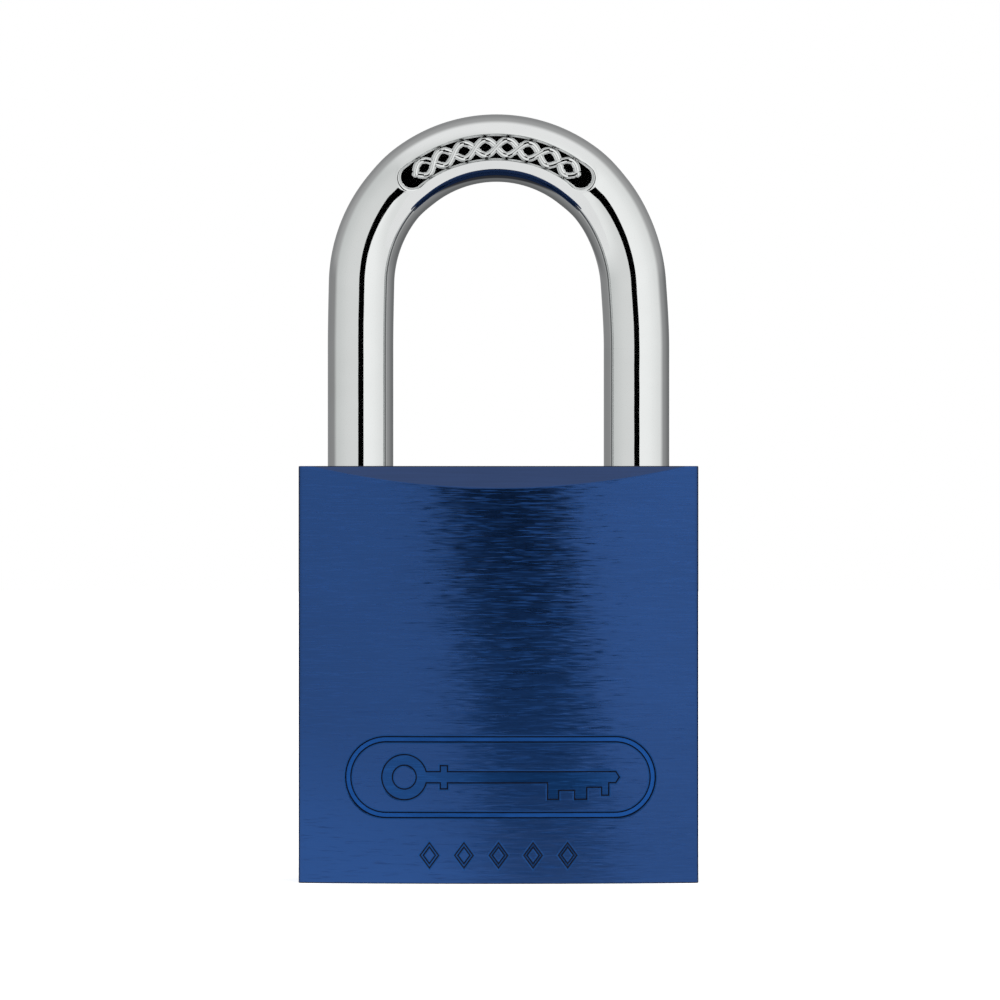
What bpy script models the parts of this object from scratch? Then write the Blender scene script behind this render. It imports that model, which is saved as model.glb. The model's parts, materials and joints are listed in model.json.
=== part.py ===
"""Pin tumbler padlock with a drilled aluminium body and a double bolted steel shackle.

Frame: metres, +Z up, origin at the middle of the body's base, front face towards -Y. The long (heel) leg
of the shackle is on the -X side. The plug is shown turned to its open position, so both latch bolts are
drawn in and the shackle is free to rise.
"""

import math

import bmesh
import bpy
from mathutils import Euler, Matrix, Vector

MM = 0.001

# Body block
BODY_WIDTH = 40.0 * MM
BODY_HEIGHT = 41.7 * MM
BODY_HALF_DEPTH = 9.5 * MM
SIDE_HALF_DEPTH = 7.0 * MM
TOP_FLAT_HALF_DEPTH = 7.25 * MM
CORNER_RADIUS = 0.5 * MM
FACE_STEPS = 24

# Border groove on the front face
GROOVE_HALF_LENGTH = 15.5 * MM
GROOVE_OUTER_RADIUS = 4.1 * MM
GROOVE_WIDTH = 0.6 * MM
GROOVE_DEPTH = 0.3 * MM
GROOVE_HEIGHT = 10.6 * MM
GROOVE_MIDDLE = 0.2 * MM

# Shackle
LEG_SPREAD = 13.9 * MM
BAR_RADIUS = 3.3 * MM
BOW_BAR_RADIUS = 3.4 * MM
BOW_RADIUS = 13.5 * MM
BOW_MIDDLE = -0.21 * MM
BOW_CENTRE_HEIGHT = BODY_HEIGHT + 18.55 * MM
BOW_FULL_START = 0.62
BOW_FULL_RISE = 0.17
FLARE_TOP = BOW_CENTRE_HEIGHT + 6.25 * MM
FLARE_BOTTOM = BOW_CENTRE_HEIGHT - 6.75 * MM
HEEL_END = 14.5 * MM
TOE_END = 32.3 * MM
TIP_TAPER = 0.7 * MM
BAR_BEVEL_RESOLUTION = 10
PANEL_WIDTH = 2.65 * MM
PANEL_HALF_ANGLE = math.radians(39.0)
PANEL_FLOOR = -2.75 * MM
CUT_FLAT_DEPTH = 1.7 * MM
NOTCH_DEPTH = 1.75 * MM
NOTCH_HALF_HEIGHT = 2.4 * MM
NOTCH_SLOPE = 0.5 * MM
NECK_HEIGHT = 2.2 * MM
FLAT_BOTTOM = 15.9 * MM
FLAT_TOP = 30.2 * MM

# Holes in the body
LEG_BORE_RADIUS = 3.5 * MM
HEEL_BORE_FLOOR = 8.0 * MM
TOE_BORE_FLOOR = 31.7 * MM
PLUG_BORE_RADIUS = 5.6 * MM
PLUG_BORE_TOP = 39.3 * MM
BOLT_HEIGHT = 36.5 * MM
BOLT_BORE_RADIUS = 2.3 * MM

# Plug and its keyway
PLUG_RADIUS = 5.5 * MM
PLUG_FACE = 0.3 * MM
PLUG_END = 32.9 * MM
PLUG_GROOVE_RADIUS = 4.9 * MM
PLUG_GROOVE_BOTTOM = 28.6 * MM
PLUG_GROOVE_TOP = 30.4 * MM
KEYWAY_END = 28.0 * MM
TONGUE = Vector((1.8, 6.0, 2.3)) * MM
TONGUE_CLEARANCE = 0.2 * MM

# Cam and bolts
CAM_BOTTOM = 33.2 * MM
CAM_TOP = 39.0 * MM
CAM_SMALL_RADIUS = 3.0 * MM
CAM_RISE = 1.8 * MM
BOLT_RADIUS = 2.2 * MM
BOLT_INNER = 3.4 * MM
BOLT_OUTER = 10.25 * MM

# Cross pins in the body, drilled from the back
STOP_PIN_RADIUS = 1.0 * MM
STOP_PIN_X = -11.05 * MM
STOP_PIN_Z = 29.0 * MM
STOP_PIN_FRONT = -3.6 * MM
STOP_PIN_BACK = 8.65 * MM
RETAINING_PIN_RADIUS = 0.8 * MM
RETAINING_PIN_X = -5.9 * MM
RETAINING_PIN_Z = 29.5 * MM
RETAINING_PIN_FRONT = -2.8 * MM
RETAINING_PIN_BACK = 9.2 * MM
CROSS_PIN_CLEARANCE = 0.1 * MM

# Pin tumblers, in six chambers drilled from the narrow side at +X
CHAMBER_RADIUS = 1.45 * MM
CHAMBER_FIRST = 7.0 * MM
CHAMBER_PITCH = 3.6 * MM
CHAMBER_FLOOR = 0.4 * MM
PIN_RADIUS = 1.35 * MM
PIN_CHAMFER = 0.35 * MM
SHEAR_RADIUS = 5.35 * MM
KEY_PIN_LENGTHS = [3.0 * MM, 4.2 * MM, 3.5 * MM, 4.4 * MM, 3.8 * MM, 3.3 * MM]
DRIVER_INNER = 5.75 * MM
DRIVER_LENGTH = 4.5 * MM
DRIVER_SPRING_START = 10.4 * MM
DRIVER_SPRING_END = 17.3 * MM
DRIVER_SPRING_RADIUS = 0.95 * MM
DRIVER_WIRE_RADIUS = 0.2 * MM
DRIVER_SPRING_TURNS = 5
CHAMBER_PLUG_RADIUS = 1.38 * MM
CHAMBER_PLUG_INNER = 17.5 * MM
CHAMBER_PLUG_OUTER = 19.95 * MM

# Spring under the heel leg
LIFT_SPRING_BOTTOM = 8.2 * MM
LIFT_SPRING_TOP = 14.25 * MM
LIFT_SPRING_RADIUS = 2.45 * MM
LIFT_WIRE_RADIUS = 0.35 * MM
LIFT_SPRING_TURNS = 6

PAST = 2.0 * MM
WELD = 0.0000005
ALONG_X = Euler((0.0, math.radians(90.0), 0.0))
ALONG_Y = Euler((math.radians(-90.0), 0.0, 0.0))
UPRIGHT = Euler((0.0, 0.0, 0.0))


def clear_scene():
    for found in list(bpy.data.objects):
        bpy.data.objects.remove(found, do_unlink=True)


def make_material(name, colour, roughness, metallic):
    material = bpy.data.materials.new(name)
    material.use_nodes = True
    shader = material.node_tree.nodes["Principled BSDF"]
    shader.inputs["Base Color"].default_value = (*colour, 1.0)
    shader.inputs["Roughness"].default_value = roughness
    shader.inputs["Metallic"].default_value = metallic
    material.diffuse_color = (*colour, 1.0)
    return material


def add_object(name, shape, material=None, location=(0.0, 0.0, 0.0), rotation=UPRIGHT):
    """Turn a bmesh into a smooth shaded object whose creases stay sharp."""
    bmesh.ops.recalc_face_normals(shape, faces=shape.faces)
    mesh = bpy.data.meshes.new(name)
    shape.to_mesh(mesh)
    shape.free()
    mesh.shade_smooth()
    mesh.set_sharp_from_angle(angle=math.radians(30.0))
    if material:
        mesh.materials.append(material)
    made = bpy.data.objects.new(name, mesh)
    made.location = location
    made.rotation_euler = rotation
    bpy.context.scene.collection.objects.link(made)
    return made


def move_origin(made, point):
    """Put an object's origin on its joint axis without moving its surface."""
    made.data.transform(Matrix.Translation(-Vector(point)))
    made.location = point


def combine(target, cutter, operation="DIFFERENCE"):
    """Cut a hidden guide object out of the target, or join it on."""
    cutter.hide_render = True
    cutter.display_type = "WIRE"
    modifier = target.modifiers.new(cutter.name, "BOOLEAN")
    modifier.object = cutter
    modifier.operation = operation
    modifier.solver = "EXACT"


def turned(profile, steps):
    """Spin an outline of (radius, height) points about Z. It starts and ends on the axis or closes."""
    shape = bmesh.new()
    points = [shape.verts.new((radius, 0.0, height)) for radius, height in profile]
    pairs = list(zip(points, points[1:]))
    if profile[0][0] > 0.0:
        pairs.append((points[-1], points[0]))
    edges = [shape.edges.new(pair) for pair in pairs]
    bmesh.ops.spin(
        shape,
        geom=points + edges,
        cent=(0.0, 0.0, 0.0),
        axis=(0.0, 0.0, 1.0),
        angle=2.0 * math.pi,
        steps=steps,
    )
    bmesh.ops.remove_doubles(shape, verts=shape.verts, dist=WELD)
    return shape


def rod_profile(radius, low, high, chamfer=0.0):
    if chamfer == 0.0:
        return [(0.0, low), (radius, low), (radius, high), (0.0, high)]
    return [
        (0.0, low),
        (radius - chamfer, low),
        (radius, low + chamfer),
        (radius, high - chamfer),
        (radius - chamfer, high),
        (0.0, high),
    ]


def prism(outline, direction, start, length):
    """Extrude a flat outline, given as three-dimensional points, along one direction."""
    shape = bmesh.new()
    offset = Vector(direction) * start
    face = shape.faces.new([shape.verts.new(Vector(point) + offset) for point in outline])
    grown = bmesh.ops.extrude_face_region(shape, geom=[face])
    moved = [part for part in grown["geom"] if isinstance(part, bmesh.types.BMVert)]
    bmesh.ops.translate(shape, verts=moved, vec=Vector(direction) * length)
    return shape


def block(low, high):
    """A box between two corners."""
    outline = [
        (low[0], low[1], 0.0),
        (high[0], low[1], 0.0),
        (high[0], high[1], 0.0),
        (low[0], high[1], 0.0),
    ]
    return prism(outline, (0.0, 0.0, 1.0), low[2], high[2] - low[2])


def drill(target, name, radius, start, end, location, rotation, steps=16):
    """Cut a round hole that runs from start to end along the rotated local Z axis."""
    shape = turned(rod_profile(radius, start, end), steps)
    combine(target, add_object(name, shape, location=location, rotation=rotation))


def wire_mesh(name, points, radius, bevel_resolution, factors=None):
    """A round bar along a list of points, as a closed mesh. Factors scale its radius point by point."""
    curve = bpy.data.curves.new(name, "CURVE")
    curve.dimensions = "3D"
    curve.bevel_depth = radius
    curve.bevel_resolution = bevel_resolution
    curve.use_fill_caps = True
    spline = curve.splines.new("POLY")
    spline.points.add(len(points) - 1)
    for place, point, factor in zip(spline.points, points, factors or [1.0] * len(points)):
        place.co = (*point, 1.0)
        place.radius = factor
    guide = bpy.data.objects.new(name, curve)
    bpy.context.scene.collection.objects.link(guide)
    made = bpy.data.meshes.new_from_object(guide.evaluated_get(bpy.context.evaluated_depsgraph_get()))
    bpy.data.objects.remove(guide, do_unlink=True)
    shape = bmesh.new()
    shape.from_mesh(made)
    bpy.data.meshes.remove(made)
    bmesh.ops.remove_doubles(shape, verts=shape.verts, dist=WELD)
    return shape


def face_depth(x):
    """Distance of the convex front and back faces from the middle plane."""
    rise = BODY_HALF_DEPTH - SIDE_HALF_DEPTH
    half = BODY_WIDTH / 2.0
    radius = (half**2 + rise**2) / (2.0 * rise)
    return BODY_HALF_DEPTH - radius + math.sqrt(radius**2 - x**2)


def slice_off(shape, point, normal):
    """Remove what lies beyond a plane and close the cut with one face."""
    everything = shape.verts[:] + shape.edges[:] + shape.faces[:]
    cut = bmesh.ops.bisect_plane(
        shape, geom=everything, plane_co=point, plane_no=normal, clear_outer=True
    )
    rim = [part for part in cut["geom_cut"] if isinstance(part, bmesh.types.BMEdge)]
    bmesh.ops.contextual_create(shape, geom=rim)


def body_block():
    """The solid block: convex faces, rounded upright corners, sloped top edges front and back."""
    half = BODY_WIDTH / 2.0
    across = [half * (2.0 * i / FACE_STEPS - 1.0) for i in range(FACE_STEPS + 1)]
    front = [(x, -face_depth(x), 0.0) for x in across]
    back = [(x, face_depth(x), 0.0) for x in reversed(across)]
    shape = prism(front + back, (0.0, 0.0, 1.0), 0.0, BODY_HEIGHT)
    corners = [
        edge
        for edge in shape.edges
        if all(abs(abs(vert.co.x) - half) < WELD for vert in edge.verts)
        and abs(edge.verts[0].co.z - edge.verts[1].co.z) > WELD
    ]
    bmesh.ops.bevel(
        shape, geom=corners, offset=CORNER_RADIUS, segments=3, profile=0.5, affect="EDGES"
    )
    for side in (-1.0, 1.0):
        slice_off(shape, (0.0, side * TOP_FLAT_HALF_DEPTH, BODY_HEIGHT), (0.0, side, 1.0))
    return shape


def stadium(half_length, radius, run_steps=16, end_steps=10):
    """Outline of (x, z) points on the front face: two straight runs joined by half circles."""
    centre = half_length - radius
    points = []
    for side in (1.0, -1.0):
        for i in range(end_steps + 1):
            angle = math.pi * (i / end_steps - 0.5)
            points.append((side * (centre + radius * math.cos(angle)), side * radius * math.sin(angle)))
        for i in range(1, run_steps):
            points.append((side * centre * (1.0 - 2.0 * i / run_steps), side * radius))
    return [(x + GROOVE_MIDDLE, z + GROOVE_HEIGHT) for x, z in points]


def groove_cutter():
    """A closed band that follows the convex face and sinks the border groove into it."""
    outer = stadium(GROOVE_HALF_LENGTH, GROOVE_OUTER_RADIUS)
    inner = stadium(GROOVE_HALF_LENGTH - GROOVE_WIDTH, GROOVE_OUTER_RADIUS - GROOVE_WIDTH)
    shape = bmesh.new()
    loops = []
    for outline, depth in ((outer, -PAST), (outer, GROOVE_DEPTH), (inner, GROOVE_DEPTH), (inner, -PAST)):
        ring = [shape.verts.new((x, depth - face_depth(x), z)) for x, z in outline]
        pairs = zip(ring, ring[1:] + ring[:1])
        loops.append([shape.edges.new(pair) for pair in pairs])
    for first, second in zip(loops, loops[1:] + loops[:1]):
        bmesh.ops.bridge_loops(shape, edges=first + second)
    return shape


def chamber_heights():
    return [CHAMBER_FIRST + i * CHAMBER_PITCH for i in range(len(KEY_PIN_LENGTHS))]


def make_lock_body(material):
    body = add_object("lock_body", body_block(), material)
    top = BODY_HEIGHT + PAST
    heel = (-LEG_SPREAD, 0.0, 0.0)
    toe = (LEG_SPREAD, 0.0, 0.0)
    bolt_line = (0.0, 0.0, BOLT_HEIGHT)
    drill(body, "plug_bore", PLUG_BORE_RADIUS, -PAST, PLUG_BORE_TOP, (0.0, 0.0, 0.0), UPRIGHT, 40)
    drill(body, "heel_bore", LEG_BORE_RADIUS, HEEL_BORE_FLOOR, top, heel, UPRIGHT, 28)
    drill(body, "toe_bore", LEG_BORE_RADIUS, TOE_BORE_FLOOR, top, toe, UPRIGHT, 28)
    drill(body, "bolt_bore", BOLT_BORE_RADIUS, -LEG_SPREAD, LEG_SPREAD, bolt_line, ALONG_X, 20)
    for number, height in enumerate(chamber_heights(), 1):
        name = f"body_chamber_{number}"
        place = (0.0, 0.0, height)
        drill(body, name, CHAMBER_RADIUS, 4.0 * MM, BODY_WIDTH / 2.0 + PAST, place, ALONG_X)
    for name, radius, x, front, z in (
        ("stop_pin_hole", STOP_PIN_RADIUS, STOP_PIN_X, STOP_PIN_FRONT, STOP_PIN_Z),
        (
            "retaining_pin_hole",
            RETAINING_PIN_RADIUS,
            RETAINING_PIN_X,
            RETAINING_PIN_FRONT,
            RETAINING_PIN_Z,
        ),
    ):
        start = front - 2.0 * CROSS_PIN_CLEARANCE
        hole_radius = radius + CROSS_PIN_CLEARANCE
        drill(body, name, hole_radius, start, BODY_HALF_DEPTH + PAST, (x, 0.0, z), ALONG_Y)
    combine(body, add_object("border_groove", groove_cutter()))


def smooth_step(t):
    return t * t * (3.0 - 2.0 * t)


def shackle_path():
    """Centre line from the heel leg's end over the bow to the toe leg's end."""
    half_bow = 15
    leg_steps = 5
    rises = [BOW_RADIUS * math.cos(math.pi / 2.0 * i / half_bow) for i in range(half_bow + 1)]
    rises += [(FLARE_BOTTOM - BOW_CENTRE_HEIGHT) * i / leg_steps for i in range(1, leg_steps + 1)]
    points = []
    for side, end in ((-1.0, HEEL_END), (1.0, TOE_END)):
        half = []
        for rise in rises:
            z = BOW_CENTRE_HEIGHT + rise
            reach = math.sqrt(BOW_RADIUS**2 - max(rise, 0.0) ** 2)
            flare = smooth_step(min(max((FLARE_TOP - z) / (FLARE_TOP - FLARE_BOTTOM), 0.0), 1.0))
            spread = LEG_SPREAD - BOW_RADIUS - side * BOW_MIDDLE
            half.append((BOW_MIDDLE + side * (reach + flare * spread), 0.0, z))
        half += [(side * LEG_SPREAD, 0.0, end + TIP_TAPER), (side * LEG_SPREAD, 0.0, end)]
        points = list(reversed(half)) if side < 0.0 else points + half[1:]
    return points


def bar_factor(point, lowest):
    """How thick the bar is at a point of its centre line: fuller near the apex, tapered at both ends."""
    if point[2] < lowest + WELD:
        return 1.0 - TIP_TAPER / BAR_RADIUS
    rise = ((point[2] - BOW_CENTRE_HEIGHT) / BOW_RADIUS - BOW_FULL_START) / BOW_FULL_RISE
    return 1.0 + (BOW_BAR_RADIUS / BAR_RADIUS - 1.0) * smooth_step(min(max(rise, 0.0), 1.0))


def panel_outline():
    """The sunk panel on the bow: a band along the centre line with round ends."""
    band_steps = 20
    end_steps = 8
    points = []
    for side in (1.0, -1.0):
        radius = BOW_RADIUS + side * PANEL_WIDTH / 2.0
        for i in range(band_steps + 1):
            angle = side * PANEL_HALF_ANGLE * (1.0 - 2.0 * i / band_steps)
            points.append((radius * math.sin(angle), radius * math.cos(angle)))
        tip = -side * PANEL_HALF_ANGLE
        tip_centre = (BOW_RADIUS * math.sin(tip), BOW_RADIUS * math.cos(tip))
        for i in range(1, end_steps):
            turn = tip - side * math.pi * i / end_steps
            reach = side * PANEL_WIDTH / 2.0
            points.append(
                (tip_centre[0] + reach * math.sin(turn), tip_centre[1] + reach * math.cos(turn))
            )
    return [(x + BOW_MIDDLE, 0.0, z + BOW_CENTRE_HEIGHT) for x, z in points]


def notch_outline(side):
    """Section of the bolt notch in one leg, with sloped flanks."""
    floor = LEG_SPREAD - BAR_RADIUS + NOTCH_DEPTH
    mouth = LEG_SPREAD - BAR_RADIUS - 1.0 * MM
    slope = NOTCH_SLOPE * (NOTCH_DEPTH + 1.0 * MM) / NOTCH_DEPTH
    return [
        (side * floor, 0.0, BOLT_HEIGHT - NOTCH_HALF_HEIGHT),
        (side * mouth, 0.0, BOLT_HEIGHT - NOTCH_HALF_HEIGHT - slope),
        (side * mouth, 0.0, BOLT_HEIGHT + NOTCH_HALF_HEIGHT + slope),
        (side * floor, 0.0, BOLT_HEIGHT + NOTCH_HALF_HEIGHT),
    ]


def make_shackle(material):
    path = shackle_path()
    factors = [bar_factor(point, HEEL_END if point[0] < 0.0 else TOE_END) for point in path]
    shape = wire_mesh("shackle", path, BAR_RADIUS, BAR_BEVEL_RESOLUTION, factors)
    shackle = add_object("shackle", shape, material)
    move_origin(shackle, (-LEG_SPREAD, 0.0, HEEL_END))
    panel = prism(panel_outline(), (0.0, 1.0, 0.0), PANEL_FLOOR - 2.0 * MM, 2.0 * MM)
    combine(shackle, add_object("bow_panel", panel))
    across = BAR_RADIUS + 1.0 * MM
    for name, side in (("heel_notch", -1.0), ("toe_notch", 1.0)):
        notch = prism(notch_outline(side), (0.0, 1.0, 0.0), -across, 2.0 * across)
        combine(shackle, add_object(name, notch))
    flat_x = -LEG_SPREAD + BAR_RADIUS - CUT_FLAT_DEPTH
    flat = block((flat_x, -across, FLAT_BOTTOM), (flat_x + 3.0 * MM, across, FLAT_TOP))
    combine(shackle, add_object("stop_flat", flat))
    neck_radius = BAR_RADIUS - CUT_FLAT_DEPTH
    ring = [
        (neck_radius, FLAT_BOTTOM),
        (across, FLAT_BOTTOM),
        (across, FLAT_BOTTOM + NECK_HEIGHT),
        (neck_radius, FLAT_BOTTOM + NECK_HEIGHT),
    ]
    combine(shackle, add_object("swivel_neck", turned(ring, 24), location=(-LEG_SPREAD, 0.0, 0.0)))


def keyway_outline():
    """Section of the keyway, with one ward on each side."""
    return [
        (-1.0 * MM, -4.7 * MM, 0.0),
        (1.0 * MM, -4.7 * MM, 0.0),
        (1.0 * MM, -3.3 * MM, 0.0),
        (0.3 * MM, -2.8 * MM, 0.0),
        (0.3 * MM, -1.8 * MM, 0.0),
        (1.0 * MM, -1.3 * MM, 0.0),
        (1.0 * MM, 2.4 * MM, 0.0),
        (-1.0 * MM, 2.4 * MM, 0.0),
        (-1.0 * MM, 0.0, 0.0),
        (-0.35 * MM, -0.4 * MM, 0.0),
        (-0.35 * MM, -1.2 * MM, 0.0),
        (-1.0 * MM, -1.6 * MM, 0.0),
    ]


def make_cylinder_plug(material):
    chamfer = 0.3 * MM
    profile = [
        (0.0, PLUG_FACE),
        (PLUG_RADIUS - chamfer, PLUG_FACE),
        (PLUG_RADIUS, PLUG_FACE + chamfer),
        (PLUG_RADIUS, PLUG_GROOVE_BOTTOM),
        (PLUG_GROOVE_RADIUS, PLUG_GROOVE_BOTTOM),
        (PLUG_GROOVE_RADIUS, PLUG_GROOVE_TOP),
        (PLUG_RADIUS, PLUG_GROOVE_TOP),
        (PLUG_RADIUS, PLUG_END),
        (0.0, PLUG_END),
    ]
    plug = add_object("cylinder_plug", turned(profile, 40), material)
    keyway = prism(keyway_outline(), (0.0, 0.0, 1.0), -PAST, KEYWAY_END + PAST)
    combine(plug, add_object("keyway", keyway))
    for number, height in enumerate(chamber_heights(), 1):
        place = (0.0, 0.0, height)
        drill(plug, f"plug_chamber_{number}", CHAMBER_RADIUS, CHAMBER_FLOOR, 7.0 * MM, place, ALONG_Y)
    low = (-TONGUE.x / 2.0, -TONGUE.y / 2.0, PLUG_END - 0.5 * MM)
    high = (TONGUE.x / 2.0, TONGUE.y / 2.0, PLUG_END + TONGUE.z)
    combine(plug, add_object("tail_tongue", block(low, high)), "UNION")


def cam_radius(angle):
    """Smallest along X and largest along Y, growing evenly with the angle between them."""
    quarter = math.pi / 2.0
    from_x_axis = abs((angle + quarter) % math.pi - quarter)
    return CAM_SMALL_RADIUS + CAM_RISE * from_x_axis / quarter


def make_locking_cam(material):
    steps = 48
    angles = [2.0 * math.pi * i / steps for i in range(steps)]
    outline = [(cam_radius(a) * math.cos(a), cam_radius(a) * math.sin(a), 0.0) for a in angles]
    shape = prism(outline, (0.0, 0.0, 1.0), CAM_BOTTOM, CAM_TOP - CAM_BOTTOM)
    cam = add_object("locking_cam", shape, material)
    half_width = TONGUE.x / 2.0 + TONGUE_CLEARANCE
    half_length = TONGUE.y / 2.0 + TONGUE_CLEARANCE
    slot_top = PLUG_END + TONGUE.z + TONGUE_CLEARANCE
    slot = block((-half_width, -half_length, CAM_BOTTOM - PAST), (half_width, half_length, slot_top))
    combine(cam, add_object("tongue_slot", slot))


def make_latch_bolts(material):
    profile = [
        (0.0, BOLT_INNER),
        (BOLT_RADIUS - 0.3 * MM, BOLT_INNER),
        (BOLT_RADIUS, BOLT_INNER + 0.3 * MM),
        (BOLT_RADIUS, BOLT_OUTER - 0.6 * MM),
        (BOLT_RADIUS - 0.6 * MM, BOLT_OUTER),
        (0.0, BOLT_OUTER),
    ]
    toe = add_object("latch_bolt_toe", turned(profile, 18), material)
    toe.location = (0.0, 0.0, BOLT_HEIGHT)
    toe.rotation_euler = ALONG_X
    heel = add_object("latch_bolt_heel", turned(profile, 18), material)
    heel.location = (0.0, 0.0, BOLT_HEIGHT)
    heel.rotation_euler = Euler((0.0, math.radians(-90.0), 0.0))


def make_cross_pins(material):
    for name, radius, x, z, front, back in (
        ("shackle_stop_pin", STOP_PIN_RADIUS, STOP_PIN_X, STOP_PIN_Z, STOP_PIN_FRONT, STOP_PIN_BACK),
        (
            "plug_retaining_pin",
            RETAINING_PIN_RADIUS,
            RETAINING_PIN_X,
            RETAINING_PIN_Z,
            RETAINING_PIN_FRONT,
            RETAINING_PIN_BACK,
        ),
    ):
        shape = turned(rod_profile(radius, front, back, 0.2 * MM), 16)
        add_object(name, shape, material, (x, 0.0, z), ALONG_Y)


def coil_points(radius, low, high, turns, steps_per_turn):
    """Centre line of a helical spring along local Z."""
    count = turns * steps_per_turn
    points = []
    for i in range(count + 1):
        angle = 2.0 * math.pi * i / steps_per_turn
        height = low + (high - low) * i / count
        points.append((radius * math.cos(angle), radius * math.sin(angle), height))
    return points


def make_shackle_spring(material):
    low = LIFT_SPRING_BOTTOM + LIFT_WIRE_RADIUS
    high = LIFT_SPRING_TOP - LIFT_WIRE_RADIUS
    points = coil_points(LIFT_SPRING_RADIUS, low, high, LIFT_SPRING_TURNS, 12)
    shape = wire_mesh("shackle_spring", points, LIFT_WIRE_RADIUS, 1)
    add_object("shackle_spring", shape, material, (-LEG_SPREAD, 0.0, 0.0))


def make_tumblers(brass, steel, spring_steel, aluminium):
    for number, (height, length) in enumerate(zip(chamber_heights(), KEY_PIN_LENGTHS), 1):
        place = (0.0, 0.0, height)
        tip = SHEAR_RADIUS - length
        key_pin = [
            (0.0, tip),
            (0.5 * MM, tip),
            (PIN_RADIUS, tip + 0.8 * MM),
            (PIN_RADIUS, SHEAR_RADIUS - PIN_CHAMFER),
            (PIN_RADIUS - PIN_CHAMFER, SHEAR_RADIUS),
            (0.0, SHEAR_RADIUS),
        ]
        add_object(f"key_pin_{number}", turned(key_pin, 14), brass, place, ALONG_Y)
        driver = rod_profile(PIN_RADIUS, DRIVER_INNER, DRIVER_INNER + DRIVER_LENGTH, PIN_CHAMFER)
        add_object(f"driver_pin_{number}", turned(driver, 14), steel, place, ALONG_X)
        low = DRIVER_SPRING_START + DRIVER_WIRE_RADIUS
        high = DRIVER_SPRING_END - DRIVER_WIRE_RADIUS
        points = coil_points(DRIVER_SPRING_RADIUS, low, high, DRIVER_SPRING_TURNS, 8)
        spring = wire_mesh(f"driver_spring_{number}", points, DRIVER_WIRE_RADIUS, 1)
        add_object(f"driver_spring_{number}", spring, spring_steel, place, ALONG_X)
        stopper = rod_profile(CHAMBER_PLUG_RADIUS, CHAMBER_PLUG_INNER, CHAMBER_PLUG_OUTER, 0.15 * MM)
        add_object(f"chamber_plug_{number}", turned(stopper, 16), aluminium, place, ALONG_X)


def main():
    clear_scene()
    anodised = make_material("anodised_aluminium", (0.03, 0.08, 0.24), 0.35, 1.0)
    chrome = make_material("chromed_steel", (0.75, 0.75, 0.76), 0.08, 1.0)
    brass = make_material("brass", (0.72, 0.52, 0.22), 0.28, 1.0)
    steel = make_material("bright_steel", (0.55, 0.55, 0.56), 0.3, 1.0)
    spring_steel = make_material("spring_steel", (0.4, 0.4, 0.42), 0.35, 1.0)
    make_lock_body(anodised)
    make_shackle(chrome)
    make_cylinder_plug(brass)
    make_locking_cam(steel)
    make_latch_bolts(steel)
    make_cross_pins(steel)
    make_shackle_spring(spring_steel)
    make_tumblers(brass, steel, spring_steel, anodised)


main()
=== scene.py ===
import json
import math

import bmesh
import bpy
from mathutils import Euler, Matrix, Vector


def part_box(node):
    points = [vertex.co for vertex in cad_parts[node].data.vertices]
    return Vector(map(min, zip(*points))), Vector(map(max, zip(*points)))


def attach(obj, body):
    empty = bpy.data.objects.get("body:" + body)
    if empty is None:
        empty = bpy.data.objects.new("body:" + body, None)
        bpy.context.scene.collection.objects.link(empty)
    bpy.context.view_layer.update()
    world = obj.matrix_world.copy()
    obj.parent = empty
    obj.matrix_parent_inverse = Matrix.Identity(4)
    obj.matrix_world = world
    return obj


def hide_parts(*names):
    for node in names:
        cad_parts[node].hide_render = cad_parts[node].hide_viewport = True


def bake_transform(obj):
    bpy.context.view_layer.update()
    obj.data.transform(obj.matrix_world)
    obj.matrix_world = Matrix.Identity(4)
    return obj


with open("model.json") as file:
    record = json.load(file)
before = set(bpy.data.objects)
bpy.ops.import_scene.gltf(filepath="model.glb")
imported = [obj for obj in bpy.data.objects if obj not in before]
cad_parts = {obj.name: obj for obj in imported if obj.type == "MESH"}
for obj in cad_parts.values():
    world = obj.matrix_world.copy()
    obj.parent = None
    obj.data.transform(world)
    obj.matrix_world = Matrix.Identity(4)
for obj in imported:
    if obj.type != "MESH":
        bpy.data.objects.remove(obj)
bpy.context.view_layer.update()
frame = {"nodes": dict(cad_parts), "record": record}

MM = 0.001

# Lock body, from the CAD box
BODY_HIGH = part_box("lock_body")[1]
HALF_WIDTH = BODY_HIGH.x
BODY_HEIGHT = BODY_HIGH.z
HALF_DEPTH = BODY_HIGH.y
SIDE_HALF_DEPTH = 7.0 * MM
TOP_FLAT = 7.25 * MM
FACE_STEPS = 150
CORNER_RADIUS = 0.45 * MM
CORNER_STEP = math.radians(15.0)
EDGE_ROUND = 0.1 * MM
EDGE_STEP = math.radians(22.5)
CURVE_STEPS = 4
LONGEST_ARM = 0.45

# Bores, as in the CAD solids
PAST_SURFACE = 2.0 * MM
LEG_BORE_RADIUS = 3.5 * MM
HEEL_BORE_FLOOR = 8.0 * MM
TOE_BORE_FLOOR = 31.7 * MM
MOUTH_CHAMFER = 0.25 * MM
PLUG_BORE_RADIUS = 5.6 * MM
PLUG_BORE_TOP = 39.3 * MM
BOLT_HEIGHT = 36.5 * MM
BOLT_BORE_RADIUS = 2.3 * MM
CHAMBER_COUNT = 6
CHAMBER_RADIUS = 1.45 * MM
CHAMBER_START = 4.0 * MM
CROSS_WIDER = 0.04 * MM
CROSS_DEEPER = 0.2 * MM
LEG_BORE_SIDES = 72
PLUG_SIDES = 96
CHAMBER_SIDES = 48
NARROW_SIDES = 40

# Materials of the block, and for each corner of its section those on the corner and after it
BRUSHED, CHAMFER, TOP, EDGE = range(4)
SECTION_PARTS = [
    (EDGE, BRUSHED), (BRUSHED, CHAMFER), (EDGE, TOP), (EDGE, CHAMFER), (BRUSHED, BRUSHED), (EDGE, TOP),
]

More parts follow.
